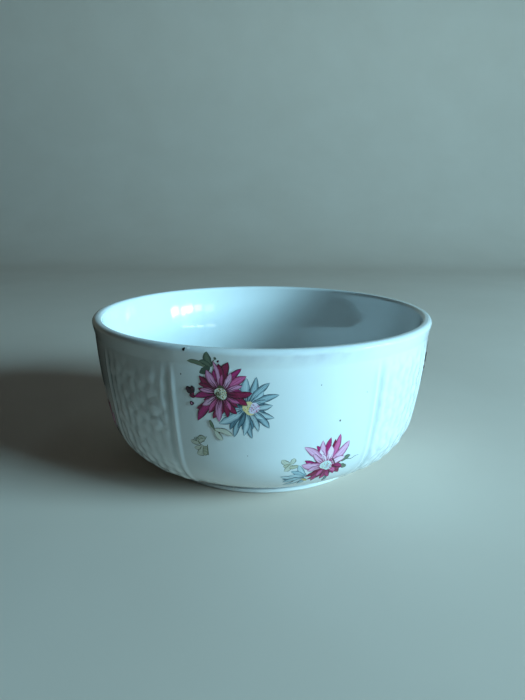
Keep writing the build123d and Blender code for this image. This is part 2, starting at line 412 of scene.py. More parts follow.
def risen(tree, value, low, gain):
    """A share, 0 up to low, that then grows with value by gain as far as 1."""
    return maths(tree, "MULTIPLY", maths(tree, "SUBTRACT", value, low), gain, clamp=True)


def attribute(tree, name, output="Fac"):
    return node(tree, "ShaderNodeAttribute", {"attribute_name": name}).outputs[output]


def object_place(tree):
    return node(tree, "ShaderNodeTexCoord").outputs["Object"]


def noise_at(tree, place, scale, detail=3.0, rough=0.55):
    return node(tree, "ShaderNodeTexNoise", Vector=place, Scale=scale, Detail=detail,
                Roughness=rough).outputs["Fac"]


def glaze_material(name, white=(0.80, 0.815, 0.81), pooled=(0.60, 0.64, 0.635), relief_shade=True):
    """Fired glaze: slightly uneven gloss, faint waves, pooled tint, pinholes, iron specks."""
    material, tree, shader = new_material(name)
    place = object_place(tree)
    cloud = noise_at(tree, place, 26.0, 4.0)
    tint = ramp(tree, cloud, [(0.30, white), (0.72, tuple(c * 0.955 for c in white))])
    if relief_shade:
        tint = mix_colour(tree, attribute(tree, "hollow"), tint, (*pooled, 1))
        clouds = noise_at(tree, place, 240.0, 3.0)
        # patchy grey clouds in a band under the rim, at the front only
        patchy = maths(tree, "MULTIPLY", attribute(tree, "rim_grey_clouds"), clouds, clamp=True)
        tint = mix_colour(tree, patchy, tint, (0.50, 0.48, 0.55, 1))
        # painted shade: the crease just above the foot ring is darkened in the colour
        tint = mix_colour(tree, attribute(tree, "painted_crease_shade"), tint, (0.16, 0.15, 0.14, 1))
    # pinholes and iron specks, sparse and tiny
    cells = node(tree, "ShaderNodeTexVoronoi", {"feature": "F1"}, Vector=place, Scale=95.0,
                 Randomness=1.0)
    parts = node(tree, "ShaderNodeSeparateColor", Color=cells.outputs["Color"])
    chosen = maths(tree, "GREATER_THAN", parts.outputs[0], 0.955)
    away = maths(tree, "MULTIPLY", cells.outputs["Distance"], 26.0)
    near = maths(tree, "SUBTRACT", 1.0, away, clamp=True)
    speck = maths(tree, "MULTIPLY", chosen, near)
    tint = mix_colour(tree, maths(tree, "MULTIPLY", speck, 0.75), tint, (0.22, 0.20, 0.185, 1))
    gloss = noise_at(tree, place, 60.0, 3.0)
    rough = ramp(tree, gloss, [(0.25, (0.055,) * 3), (0.8, (0.12,) * 3)])
    wave = noise_at(tree, place, 150.0, 2.0, 0.5)
    swell = noise_at(tree, place, 34.0, 1.0, 0.4)
    height = maths(tree, "ADD", swell, maths(tree, "MULTIPLY", wave, 0.16))
    height = maths(tree, "SUBTRACT", height, maths(tree, "MULTIPLY", speck, 0.25))
    bump = node(tree, "ShaderNodeBump", Strength=0.55, Distance=0.00022, Height=height)
    fill(tree, shader, Base_Color=tint, Roughness=rough, IOR=GLASS_IOR, Coat_Weight=0.5,
         Coat_Roughness=0.04, Normal=bump.outputs[0])
    return material


def biscuit_material():
    """Unglazed porcelain: matt and grainy, rubbed grey where the bowl has stood."""
    material, tree, shader = new_material("bare_porcelain")
    place = object_place(tree)
    grain = noise_at(tree, place, 1400.0, 3.0, 0.7)
    stain = noise_at(tree, place, 70.0, 5.0, 0.65)
    colour = ramp(tree, stain, [(0.32, (0.66, 0.635, 0.59)), (0.6, (0.56, 0.53, 0.485)),
                                (0.8, (0.40, 0.375, 0.34))])
    colour = mix_colour(tree, maths(tree, "MULTIPLY", grain, 0.35), colour, (0.74, 0.72, 0.69, 1))
    bump = node(tree, "ShaderNodeBump", Strength=0.7, Distance=0.00012, Height=grain)
    fill(tree, shader, Base_Color=colour, Roughness=0.78, Normal=bump.outputs[0])
    return material


def enamel_material():
    """Transfer colours: each stroke carries its own inner and edge colour and a UV along it."""
    material, tree, shader = new_material("flower_enamel")
    along = attribute(tree, "along")
    across = attribute(tree, "across")
    inner = attribute(tree, "inner", "Color")
    edge = attribute(tree, "edge", "Color")
    rimmed = attribute(tree, "rimmed")
    place = object_place(tree)
    wobble = noise_at(tree, place, 900.0, 3.0, 0.6)
    uneven = maths(tree, "MULTIPLY", maths(tree, "SUBTRACT", wobble, 0.5), 0.5)
    side = maths(tree, "ADD", maths(tree, "ABSOLUTE", across), uneven)
    # the edge colour: a thin outline, and a wash that fades in towards the middle
    outline = risen(tree, side, 0.74, 5.5)
    plain = maths(tree, "SUBTRACT", 1.0, maths(tree, "MULTIPLY", rimmed, 2.2))
    wash = risen(tree, side, plain, 1.15)
    # veins run along the stroke and break up towards its tip, with a stronger one in the middle
    vein_place = node(tree, "ShaderNodeCombineXYZ", X=maths(tree, "MULTIPLY", across, 4.2),
                      Y=maths(tree, "MULTIPLY", along, 1.2), Z=attribute(tree, "seed")).outputs[0]
    vein = risen(tree, noise_at(tree, vein_place, 1.0, 2.0, 0.6), 0.50, 4.0)
    middle = maths(tree, "SUBTRACT", 1.0, maths(tree, "MULTIPLY", side, 7.0), clamp=True)
    middle = maths(tree, "MULTIPLY", middle, maths(tree, "SUBTRACT", 1.0, along))
    vein = maths(tree, "MULTIPLY", maths(tree, "MAXIMUM", vein, middle), attribute(tree, "veined"))
    dark = maths(tree, "MAXIMUM", maths(tree, "MAXIMUM", outline, wash), vein)
    root = maths(tree, "MULTIPLY", maths(tree, "SUBTRACT", 0.42, along), 2.6, clamp=True)
    dark = maths(tree, "MAXIMUM", dark, maths(tree, "MULTIPLY", root, attribute(tree, "rooted")))
    tip = risen(tree, along, 0.80, 3.5)
    dark = maths(tree, "MAXIMUM", dark, maths(tree, "MULTIPLY", tip, rimmed))
    colour = mix_colour(tree, dark, inner, edge)
    outline = maths(tree, "MULTIPLY", outline, 0.85)
    colour = mix_colour(tree, outline, colour, (0.36, 0.32, 0.38, 1), "MULTIPLY")
    # the printed colour breaks into tiny dots of bare glaze
    light = risen(tree, noise_at(tree, place, 3200.0, 1.0, 0.5), 0.60, 0.5)
    colour = mix_colour(tree, light, colour, (0.78, 0.79, 0.79, 1))
    rough = ramp(tree, wobble, [(0.2, (0.14,) * 3), (0.8, (0.26,) * 3)])
    bump = node(tree, "ShaderNodeBump", Strength=0.4, Distance=0.00004, Height=wobble)
    fill(tree, shader, Base_Color=colour, Roughness=rough, IOR=GLASS_IOR, Normal=bump.outputs[0])
    return material


# ---------------------- the glaze
turns = turns_round()
plain_turns = np.arange(0, 360, 2.0)
outer = outer_line()
outer = outer[outer[:, 1] > BARE_HEIGHT - 0.05]
outer_climb = np.concatenate([[0], np.cumsum(np.linalg.norm(np.diff(outer, axis=0), axis=1))])
outer_climb -= outer_climb[np.argmin(np.abs(outer - np.array(OUTER_START)).sum(1))]


def blurred(field, step, times):
    """A field over the wall, each value mixed again and again with its four neighbours."""
    for _ in range(times):
        near = [np.roll(field, way * step, axis) for axis in (0, 1) for way in (1, -1)]
        field = sum(near, field) / 5
    return field


def pooled_glaze(lift, climb):
    """Where glaze pools: the hollows of the moulding, beside the ribs, above the foot."""
    fine = blurred(lift, 1, 3)
    hollow = np.clip((blurred(fine, 2, 14) - lift) * 3.2, 0, 1)
    hollow = hollow * smooth(climb, 0.5, 4) * (1 - smooth(climb, RELIEF_END, RELIEF_END + 1))
    return np.clip(hollow + 0.8 * np.exp(-((climb + 0.3) / 0.9) ** 2), 0, 1)


def rim_grey_band(turn, climb):
    """A cloudy grey band under the rim, at the front only, broken into patches."""
    band = np.exp(-((climb - 85.0) / 2.2) ** 2) * smooth(turn, -14, 2) * (1 - smooth(turn, 20, 34))
    clouds = np.sin(np.radians(turn) * 41) * np.sin(climb * 1.9 + turn * 0.35)
    return band * (0.55 + 0.45 * clouds)


def glaze_coats():
    """The outer and the inner coat: one turned surface, parted on the rim's crest."""
    turn, climb = np.meshgrid(turns, outer_climb)
    lift = relief(turn, climb, outer[:, 0][:, None] + 0 * turn)
    outside = ring_points(turns, outer, lift)
    whole = np.concatenate([outside[:-1], ring_points(turns, inner_line())[:-1]])
    normals = grid_normals(whole)
    seam = len(outside) - 1
    # the outer coat's lower edge turns in and down to the body
    share, drop = 0.9965, 0.12
    edge = outside[0] * np.array((share, share, 1)) - np.array((0, 0, drop))
    rings = np.concatenate([edge[None], whole[:seam + 1]])
    coat = ring_object("glaze_outside", rings, np.concatenate([normals[:1], normals[:seam + 1]]))
    # the first mask is painted shade in the crease just above the foot ring
    for name, values in (("painted_crease_shade", np.exp(-((climb + 0.9) / 0.8) ** 2)),
                         ("hollow", pooled_glaze(lift, climb)),
                         # the last mask is a patchy grey band under the rim at the front
                         ("rim_grey_clouds", rim_grey_band(turn, climb))):
        values = values[:-1]
        add_value(coat, name, np.concatenate([values[:1], values, values[-1:] * 0]))
    lining = ring_object("glaze_inside", whole[seam:], normals[seam:], last=(0, 0, INNER_START[1]))
    return coat, lining


def foot_coat():
    """The glaze in the hollow under the bowl."""
    line = base_line()
    line = line[(line[:, 0] > 0) & ((line[:, 1] > BARE_HEIGHT - 0.05) | (line[:, 0] < 50))]
    rings = ring_points(plain_turns, line)
    return ring_object("glaze_under_foot", rings, first=(0, 0, RECESS_HEIGHT))


def bare_body():
    """The porcelain under the coats, which shows on the foot ring's resting face."""
    middle, inmost = FOOT_RADIUS - FOOT_WIDTH / 2, FOOT_RADIUS - FOOT_WIDTH
    ring_outside = rounded([(middle, 0.0, 0), (FOOT_RADIUS, 0.0, FOOT_ROUND),
                            (FOOT_RADIUS + 0.11, BARE_HEIGHT, 0),
                            (FOOT_RADIUS - 0.2, BARE_HEIGHT + 0.15, 0)])
    ring_inside = rounded([(inmost + 0.2, BARE_HEIGHT + 0.15, 0), (inmost, BARE_HEIGHT, 0),
                           (inmost, 0.0, FOOT_ROUND), (middle, 0.0, 0)])
    outside = outer_line(GLAZE + 0.15, 2.0)
    outside = outside[outside[:, 1] > BARE_HEIGHT + 0.4]
    inside = inner_line(GLAZE)
    base = base_line(GLAZE)
    base = base[(base[:, 0] > 0) & (base[:, 1] > BARE_HEIGHT + 0.4)]
    line = np.concatenate([base, ring_inside[:-1], ring_outside, outside[:-1], inside[:-1]])
    return ring_object("body", ring_points(plain_turns, line), first=(0, 0, RECESS_HEIGHT + GLAZE),
                       last=(0, 0, INNER_START[1] - GLAZE))


glaze_outside, glaze_inside = glaze_coats()
glaze_under_foot = foot_coat()
body = bare_body()
white_glaze = glaze_material("glaze_outer")
plain_glaze = glaze_material("glaze_inner", relief_shade=False)
biscuit = biscuit_material()
for obj, material, cad_node, slot_name in (
        (glaze_outside, white_glaze, "outer_glaze", "glaze"),
        (glaze_inside, plain_glaze, "inner_glaze", "glaze"),
        (glaze_under_foot, plain_glaze, "base_glaze", "glaze"),
        (body, biscuit, "porcelain_body", "porcelain")):
    obj.data.materials.append(material)
    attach(obj, "root")
    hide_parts(cad_node)

# ---------------------- flower transfers
outer_normal = line_normals(outer)
WIDEST_RADIUS = 87.5
DEGREE = radians(1) * WIDEST_RADIUS       # millimetres in a degree there
PRINT_HEIGHT, LAYER_STEP, PRINT_SINK = 0.022, 0.0011, 0.02   # a print's strokes over the glaze
ROOT_STRAY, TIP_STRAY = 0.05, 0.25        # how far a petal strays from its drawing, by hand


def on_bowl(turn, climb, height):
    """Points and normals on the glazed outside at turns and climbs, height above it."""
    lines = (*outer.T, *outer_normal.T)
    r, z, nr, nz = (np.interp(climb, outer_climb, line) for line in lines)
    length = np.hypot(nr, nz)
    nr, nz = nr / length, nz / length
    a = np.radians(turn)
    r = r + nr * height
    points = np.stack([r * np.sin(a), -r * np.cos(a), z + nz * height], -1)
    normals = np.stack([nr * np.sin(a), -nr * np.cos(a), nz], -1)
    return points, normals


def rgb(red, green, blue):
    """A colour given as it looks, 0 to 255, in linear light."""
    parts = [c / 255 for c in (red, green, blue)]
    return tuple(c / 12.92 if c <= 0.04045 else ((c + 0.055) / 1.055) ** 2.4 for c in parts)


CRIMSON = rgb(150, 10, 70)
DEEP = rgb(76, 5, 38)
MAGENTA = rgb(190, 40, 116)
ROSE = rgb(222, 104, 160)
MAUVE = rgb(232, 158, 200)
BLUSH = rgb(236, 184, 214)
PETAL = rgb(246, 222, 236)
TEAL = rgb(48, 76, 90)
SLATE = rgb(104, 140, 154)
SKY = rgb(176, 202, 210)
MIST = rgb(206, 222, 226)
LEAF = rgb(72, 88, 72)
FERN = rgb(112, 128, 104)
OLIVE = rgb(124, 126, 98)
STRAW = rgb(204, 200, 176)
PALE = rgb(214, 212, 196)
CREAM = rgb(228, 222, 204)
YELLOW = rgb(214, 178, 92)
BUTTER = rgb(240, 212, 156)
LILAC = rgb(236, 220, 238)
UMBER = rgb(70, 66, 36)
INK = rgb(48, 8, 28)
SPECK = rgb(92, 84, 76)
# the rim chip: a dark that is partly painted shade, and a painted glint
CHIP_DARK_AND_SHADE = rgb(46, 42, 40)
CHIP_PAINTED_GLINT = rgb(252, 252, 250)
BISCUIT = rgb(236, 236, 230)


class Print:
    """One transfer, gathered stroke by stroke and laid on the bowl in layers."""

    def __init__(self, name, quarter, slip=0.0):
        self.name = name
        self.shift = quarter * QUARTER + slip
        self.rng = np.random.default_rng(100 + quarter)
        self.points, self.normals, self.faces = [], [], []
        self.values = {key: [] for key in ("along", "across", "rimmed", "veined", "rooted", "seed")}
        self.colours = {"inner": [], "edge": []}
        self.layer = 0
        self.count = 0

    def patch(self, x, y, along, across, inner, edge, rimmed, veined, rooted):
        """One stroke: a grid of flat places with its own underside, so that it is closed."""
        rows, columns = x.shape
        self.layer += 1
        height = PRINT_HEIGHT + LAYER_STEP * self.layer
        turn = x / DEGREE + self.shift
        top, normal = on_bowl(turn, y, height)
        under, _ = on_bowl(turn, y, -PRINT_SINK)
        start = self.count
        for block in (top, under):
            self.points.append(block.reshape(-1, 3))
            self.normals.append(normal.reshape(-1, 3))
        size = rows * columns
        quads = np.array(grid_faces(rows, columns, closed=False))
        self.faces += (quads[:, ::-1] + start).tolist()
        self.faces += (quads + start + size).tolist()
        loop = list(range(columns)) + [columns * j + columns - 1 for j in range(1, rows)]
        loop += [size - 1 - k for k in range(1, columns)]
        loop += [columns * j for j in range(rows - 2, 0, -1)]
        for here, there in zip(loop, loop[1:] + loop[:1]):
            here, there = start + here, start + there
            self.faces.append((here, there, there + size, here + size))
        seed = self.rng.uniform(0, 50)
        for key, value in (("along", along), ("across", across), ("rimmed", rimmed),
                           ("veined", veined), ("rooted", rooted), ("seed", seed)):
            self.values[key] += [(value + 0 * x).ravel()] * 2
        for key, value in (("inner", inner), ("edge", edge)):
            self.colours[key] += [np.tile((*value, 1.0), (2 * size, 1))]
        self.count += 2 * size

    def ribbon(self, u, line, half, columns, *look):
        """A stroke along a line on the flat, its half width given at each of its points."""
        direction = np.gradient(line, axis=0)
        direction /= np.linalg.norm(direction, axis=1)[:, None]
        across = np.stack([-direction[:, 1], direction[:, 0]], 1)
        v = np.linspace(-1, 1, columns)
        grid = line[:, None] + v[None, :, None] * half[:, None, None] * across[:, None]
        zero = 0 * grid[..., 0]
        self.patch(grid[..., 0], grid[..., 1], u[:, None] + zero, v + zero, *look)

    def petal(self, base, tip, width, inner, edge, bend=0.0, rimmed=0.3, veined=0.7, rooted=0.6,
              widest=0.60, blunt=0.78, neck=0.26):
        """A petal or leaf from base to tip, both (turn, climb), curved sideways by bend."""
        b = np.array((base[0] * DEGREE, base[1]))
        t = np.array((tip[0] * DEGREE, tip[1]))
        b = b + self.rng.normal(0, ROOT_STRAY, 2)
        t = t + (self.rng.normal(0, TIP_STRAY, 2) if self.shift else 0)
        axis = t - b
        length = np.linalg.norm(axis)
        side = np.array((-axis[1], axis[0])) / length
        u = np.linspace(0, 1, 17)
        swell = np.sqrt(np.clip(1 - ((widest - u) / widest) ** 2, 0, 1))
        taper = np.cos(pi / 2 * np.clip((u - widest) / (1 - widest), 0, 1)) ** blunt
        half = 0.5 * width * np.where(u < widest, neck + (1 - neck) * swell, taper)
        half = np.maximum(half, 0.02)
        half = half * (1 + 0.06 * np.sin(u * 15 + self.rng.uniform(0, 6)))
        centre = b + u[:, None] * axis + (bend * length * np.sin(pi * u))[:, None] * side
        self.ribbon(u, centre, half, 9, inner, edge, rimmed, veined, rooted)

    def stroke(self, line, width, colour, taper=0.4):
        """A thin line through (turn, climb) places."""
        line = np.array([(a * DEGREE, b) for a, b in line], float)
        gaps = np.concatenate([[0], np.cumsum(np.linalg.norm(np.diff(line, axis=0), axis=1))])
        u = np.linspace(0, 1, 4 * len(line) + 1)
        smooth_line = np.stack([np.interp(u * gaps[-1], gaps, line[:, k]) for k in (0, 1)], 1)
        half = 0.5 * width * (1 - taper * u)
        self.ribbon(u, smooth_line, half, 3, colour, colour, 0.2, 0.3, 0)

    def spot(self, place, size, colour, edge=None, wide=1.0, rooted=0.0):
        """A small round blot, uneven round its edge."""
        ring = 14
        angle = np.linspace(0, 2 * pi, ring + 1)[:-1]
        uneven = 1 + 0.16 * np.sin(angle * 2 + self.rng.uniform(0, 6))
        uneven = uneven + 0.10 * np.sin(angle * 3 + self.rng.uniform(0, 6))
        reach = np.array((0.02, 0.5, 0.8, 1.0))
        r = reach[:, None] * size * uneven[None, :]
        r = np.concatenate([r, r[:, :1]], 1)
        a = np.concatenate([angle, angle[:1]])
        x = place[0] * DEGREE + r * np.cos(a) * wide
        y = place[1] + r * np.sin(a)
        zero = 0 * x
        self.patch(x, y, 1 - reach[:, None] + zero, 0.3 + zero,
                   colour, edge or colour, 0.1, 0.5, rooted)

    def ring(self, heart, start, petals, bend, *look):
        """A flower's petals, each (turn, climb, width, inner, edge) at its tip, bent by turns."""
        for k, (turn, climb, width, inner, edge) in enumerate(petals):
            tip = (turn, climb)
            self.petal(toward(heart, tip, start), tip, width, inner, edge, bend * (-1) ** k, *look)

    def streaks(self, heart, low, high, count, colour):
        """Short thin strokes that run out between the petals from a flower's heart."""
        for k in range(count):
            angle = 2 * pi * (k + self.rng.uniform(-0.3, 0.3)) / count
            reach = high * self.rng.uniform(0.7, 1.1)
            ends = [off(heart, r, angle) for r in (low, reach)]
            self.stroke(ends, 0.42, colour, 0.8)

    def dots(self, middle, spread, count, colours):
        """Stamens: tiny blots scattered round a place."""
        for k in range(count):
            angle = 2.4 * k + self.rng.uniform(-0.5, 0.5)
            reach = spread * ((k + 0.5) / count) ** 0.5
            place = off(middle, reach, angle)
            self.spot(place, self.rng.uniform(0.13, 0.22), colours[k % len(colours)])

    def finish(self, material, cad_node):
        """All strokes as one object, which replaces the CAD's solid of that name."""
        points = np.concatenate(self.points)
        normals = np.concatenate(self.normals)
        obj = make_mesh(self.name, points, [tuple(f) for f in self.faces], normals)
        for key, parts in self.values.items():
            add_value(obj, key, np.concatenate(parts))
        for key, parts in self.colours.items():
            layer = obj.data.color_attributes.new(key, "FLOAT_COLOR", "POINT")
            layer.data.foreach_set("color", np.concatenate(parts).astype(np.float32).ravel())
        obj.data.materials.append(material)
        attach(obj, "root")
        if cad_node:
            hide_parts(cad_node)


def off(centre, distance, angle):
    """A place that distance in millimetres from centre, at an angle from the way of turns."""
    return (centre[0] + distance * cos(angle) / DEGREE, centre[1] + distance * sin(angle))


def toward(centre, tip, distance):
    """A place that distance in millimetres from centre on the way to tip."""
    dx, dy = (tip[0] - centre[0]) * DEGREE, tip[1] - centre[1]
    length = (dx * dx + dy * dy) ** 0.5
    return (centre[0] + dx / length * distance / DEGREE, centre[1] + dy / length * distance)


def large_bouquet(sheet):
    # leaves behind, at the top left
    sheet.petal((-14.8, 80.2), (-19.9, 82.2), 2.1, FERN, OLIVE, -0.10, 0.42, 0.8, 0.3)
    sheet.petal((-13.8, 80.8), (-16.6, 77.4), 2.9, LEAF, LEAF, 0.1, 0.5, 0.6)
    sheet.petal((-13.2, 80.4), (-14.2, 87.0), 3.3, FERN, LEAF, 0.10, 0.46, 0.9)
    sheet.petal((-13.4, 80.2), (-16.4, 82.8), 2.3, FERN, LEAF, -0.10, 0.46, 0.9)
    sheet.stroke([(-13.4, 80.8), (-12.6, 83.0), (-11.9, 84.2)], 0.45, LEAF, 0.3)
    sheet.spot((-12.0, 84.3), 0.55, LEAF)
    sheet.spot((-11.3, 83.0), 0.5, DEEP)
    # the blue-grey flower
    heart = (-4.0, 63.3)
    petals = [
        (-3.85, 76.2, 3.8, MIST, SLATE), (-1.35, 76.8, 3.0, SKY, TEAL), (2.15, 74.3, 3.0, SKY, TEAL),
        (0.6, 70.6, 2.4, MIST, SLATE), (4.7, 69.0, 3.0, SKY, TEAL), (3.0, 64.4, 2.9, MIST, TEAL),
        (1.6, 66.6, 2.0, SKY, TEAL), (3.5, 58.6, 3.0, MIST, TEAL), (2.2, 53.8, 3.2, SKY, TEAL),
        (0.6, 58.0, 2.4, MIST, SLATE), (-0.8, 52.2, 2.6, MIST, TEAL), (-2.6, 48.8, 2.9, SKY, TEAL),
        (-4.9, 50.0, 2.6, MIST, SLATE), (-7.6, 49.2, 3.0, SKY, TEAL), (-6.6, 53.6, 2.2, SLATE, TEAL),
        (-8.8, 52.6, 2.6, SLATE, TEAL), (-11.8, 55.2, 3.6, MIST, SLATE),
        (-10.9, 59.0, 2.8, MIST, SLATE)]
    for k in range(13):
        angle = 2 * pi * (k + 0.3) / 13
        reach = sheet.rng.uniform(8.6, 11.4)
        tip = (heart[0] + 9.4 * cos(angle) / DEGREE, heart[1] + reach * sin(angle))
        sheet.petal(toward(heart, tip, 1.6), tip, 1.9, SLATE, TEAL, 0.04, 0.34, 0.9, 0.9)
    sheet.ring(heart, 1.6, petals, 0.06, 0.40, 1.0, 0.85)
    sheet.streaks(heart, 2.6, 6.4, 26, TEAL)
    sheet.spot((-3.4, 63.0), 2.8, BUTTER)
    sheet.spot((-2.0, 63.0), 2.3, LILAC)
    sheet.dots((-3.9, 63.0), 1.9, 26, (YELLOW, CREAM, YELLOW, UMBER, OLIVE))
    sheet.dots((-1.7, 63.0), 2.0, 30, (MAGENTA, CRIMSON, MAUVE))
    # the magenta flower, in front
    heart = (-10.8, 69.2)
    sheet.spot(heart, 5.6, CRIMSON, DEEP, 0.95)
    for k in range(22):
        angle = 2 * pi * (k + 0.5) / 22
        reach = sheet.rng.uniform(8.0, 11.2)
        tip = (heart[0] + reach * cos(angle) / DEGREE, heart[1] + reach * 1.05 * sin(angle))
        inner = CRIMSON if k % 3 else MAGENTA
        sheet.petal(toward(heart, tip, 2.0), tip, 2.1, inner, DEEP, 0.06, 0.40, 0.9, 0.95)
    back = [
        (-8.6, 82.9, 4.0, CRIMSON, DEEP), (-11.3, 82.0, 2.8, CRIMSON, DEEP),
        (-16.7, 76.2, 2.8, CRIMSON, DEEP), (-18.4, 66.5, 3.0, MAGENTA, DEEP),
        (-18.1, 61.3, 2.8, CRIMSON, DEEP), (-17.9, 55.7, 3.8, MAGENTA, DEEP),
        (-13.4, 57.4, 2.8, CRIMSON, DEEP), (-6.6, 60.2, 3.2, CRIMSON, DEEP),
        (-3.7, 64.2, 3.3, CRIMSON, DEEP), (-2.4, 69.8, 3.2, CRIMSON, DEEP),
        (-5.2, 80.2, 2.8, MAGENTA, DEEP), (-17.0, 72.6, 2.2, CRIMSON, DEEP),
        (-9.2, 58.4, 2.8, CRIMSON, DEEP)]
    sheet.ring(heart, 1.6, back, 0.07, 0.36, 0.9, 0.9)
    front = [
        (-12.6, 83.0, 1.9, MAUVE, CRIMSON), (-14.6, 79.0, 3.5, MAUVE, CRIMSON),
        (-16.6, 70.1, 2.7, MAUVE, CRIMSON), (-16.2, 63.2, 3.0, BLUSH, CRIMSON),
        (-11.6, 56.2, 3.2, MAUVE, CRIMSON), (-3.9, 77.0, 3.3, ROSE, CRIMSON),
        (-8.0, 78.2, 2.7, BLUSH, CRIMSON), (-8.3, 61.8, 2.3, ROSE, CRIMSON),
        (-5.8, 65.2, 2.2, ROSE, DEEP), (-5.0, 72.8, 2.3, MAUVE, CRIMSON),
        (-14.4, 60.4, 2.0, ROSE, CRIMSON), (-10.3, 77.4, 1.6, ROSE, CRIMSON)]
    sheet.ring(heart, 1.8, front, -0.05, 0.34, 0.85, 0.95)
    sheet.streaks(heart, 2.2, 7.4, 38, DEEP)
    sheet.spot(heart, 2.95, UMBER, DEEP, 0.88)
    sheet.spot(heart, 2.7, CREAM, CREAM, 0.86)
    sheet.dots((-10.7, 69.2), 2.3, 54, (YELLOW, OLIVE, YELLOW, UMBER))
    sheet.dots((-11.5, 69.0), 1.2, 26, (UMBER, OLIVE, UMBER))
    # buds at the left
    sheet.spot((-18.9, 68.0), 0.85, CRIMSON, DEEP, 0.9)
    sheet.petal((-18.2, 66.6), (-19.8, 67.6), 1.5, CRIMSON, DEEP, 0.1, 0.5, 0.5)
    sheet.petal((-19.0, 68.0), (-20.4, 71.0), 2.2, DEEP, INK, 0.1, 0.6, 0.5)
    sheet.petal((-18.9, 68.2), (-19.1, 71.4), 1.9, DEEP, INK, -0.1, 0.6, 0.5)
    sheet.spot((-19.3, 63.5), 0.95, DEEP, DEEP, 0.85)
    sheet.spot((-19.3, 63.6), 0.45, MAUVE, ROSE, 0.85)
    # leaves below
    sheet.stroke([(-13.9, 55.6), (-13.4, 53.4), (-13.0, 51.6)], 0.5, OLIVE, 0.3)
    sheet.petal((-13.0, 52.3), (-8.0, 49.8), 2.3, PALE, STRAW, 0.10, 0.14, 0.4, 0.1)
    sheet.petal((-12.9, 51.8), (-10.9, 47.4), 2.4, PALE, STRAW, -0.08, 0.14, 0.4, 0.1)
    sheet.petal((-14.4, 56.4), (-13.4, 52.8), 1.3, FERN, OLIVE, 0.0, 0.3, 0.6, 0.3)
    sheet.stroke([(-14.2, 54.0), (-13.2, 52.2), (-11.6, 50.8)], 0.28, OLIVE, 0.5)


def leaf_sprig(sheet):
    # a sprig of hatched leaves whose right side the transfer's edge cuts off
    sheet.petal((-18.0, 44.6), (-20.9, 45.4), 2.3, PALE, OLIVE, 0.10, 0.26, 0.7, 0.2)
    sheet.petal((-18.6, 44.8), (-15.9, 47.6), 3.4, PALE, OLIVE, 0.14, 0.26, 0.7, 0.2, widest=0.55)
    for k in range(9):
        turn = -19.9 + 0.46 * k
        sheet.stroke([(turn, 45.6 + 0.17 * k), (turn + 0.5, 47.4 + 0.12 * k)], 0.28, FERN, 0.4)
    sheet.stroke([(-18.6, 45.6), (-17.6, 43.4), (-16.4, 42.4)], 0.42, OLIVE, 0.2)
    sheet.petal((-16.9, 43.4), (-20.0, 41.8), 2.6, PALE, OLIVE, 0.10, 0.24, 0.7, 0.2)
    sheet.petal((-16.9, 43.0), (-19.4, 38.6), 3.6, PALE, OLIVE, 0.16, 0.26, 0.8, 0.2)
    sheet.petal((-16.6, 43.4), (-16.9, 38.2), 2.7, STRAW, OLIVE, 0.06, 0.28, 0.8, 0.2)
    for k in range(6):
        climb = 39.4 + 0.8 * k
        sheet.stroke([(-15.7, climb), (-17.2, climb - 0.9)], 0.26, FERN, 0.5)
    sheet.stroke([(-15.75, 44.2), (-15.7, 38.8)], 0.36, OLIVE, 0.1)


